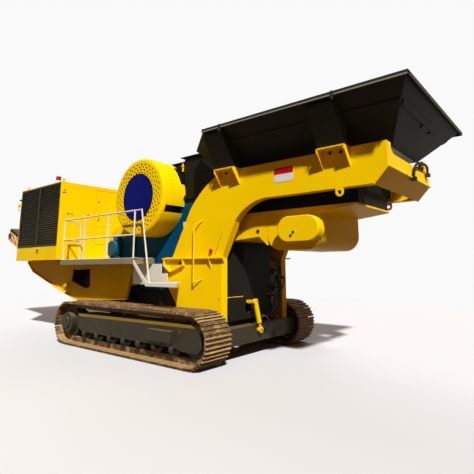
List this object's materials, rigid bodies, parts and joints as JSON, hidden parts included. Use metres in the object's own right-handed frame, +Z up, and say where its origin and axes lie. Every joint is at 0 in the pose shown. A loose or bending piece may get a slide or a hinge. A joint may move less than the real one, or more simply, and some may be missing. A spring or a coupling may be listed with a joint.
{
  "type": "tracked mobile jaw crusher",
  "caption": "Crawler-mounted jaw crusher with goose-neck frame, flared feed hopper, guarded flywheels, power pack with a hinged service door, walkways and inclined discharge conveyor.",
  "frame": {"origin": "ground level under the middle of the whole machine's length and width", "axes": "+X towards the feed hopper, +Y to the far side, +Z up"},
  "size_m": [13.4834, 3.3, 3.925],
  "materials": {
    "yellow_paint": "gloss enamel, sun-lit, dusty in the corners",
    "black_paint": "satin black paint, worn at the edges",
    "dark_steel": "dark grey paint with dried mud",
    "track_steel": "rusty brown steel with bright worn edges",
    "blue_paint": "blue enamel",
    "teal_paint": "teal enamel",
    "navy_paint": "navy enamel",
    "galvanised": "galvanised tube",
    "wear_steel": "bare worn steel",
    "belt_rubber": "matt black rubber",
    "red_lens": "clear red moulded lens"
  },
  "bodies": {
    "machine": {"beacon": "red_lens", "bypass_chute": "black_paint", "chassis_cross_members": "yellow_paint", "chassis_side_far": "yellow_paint", "chassis_side_near": "yellow_paint", "conveyor_belt": "belt_rubber", "conveyor_frame": "yellow_paint", "conveyor_hood": "black_paint", "conveyor_rollers": "dark_steel", "crusher_frame": "blue_paint", "crusher_throat": "black_paint", "drive_cover": "yellow_paint", "drive_motor": "teal_paint", "drive_sprockets": "dark_steel", "eccentric_shaft": "dark_steel", "feeder_exciter": "yellow_paint", "feeder_pan": "black_paint", "feeder_underframe": "yellow_paint", "fixed_jaw_plate": "wear_steel", "flywheel_guard_far": "yellow_paint", "flywheel_guard_near": "yellow_paint", "gooseneck_end_beam": "yellow_paint", "gooseneck_side_far": "yellow_paint", "gooseneck_side_near": "yellow_paint", "guard_discs": "navy_paint", "handrails": "galvanised", "hopper_end_wall": "black_paint", "hopper_side_far": "black_paint", "hopper_side_near": "black_paint", "hopper_struts": "black_paint", "hydraulic_cylinder": "yellow_paint", "power_pack_base": "yellow_paint", "power_pack_housing": "yellow_paint", "radiator_grilles": "dark_steel", "steps": "galvanised", "swing_jaw": "wear_steel", "track_chain_far": "track_steel", "track_chain_near": "track_steel", "track_frame_far": "dark_steel", "track_frame_near": "dark_steel", "track_idlers": "dark_steel", "track_rollers": "dark_steel", "undercarriage_beams": "dark_steel", "walkways": "galvanised"},
    "service_door_leaf": {"service_door": "yellow_paint"}
  },
  "joints": [
    {"name": "service_door_hinge", "type": "hinge", "parent": "machine", "child": "service_door_leaf", "pos_m": [-1.62825, 0.491, 2.895], "axis": [0, 0, 1], "range_deg": [0, 100]}
  ]
}
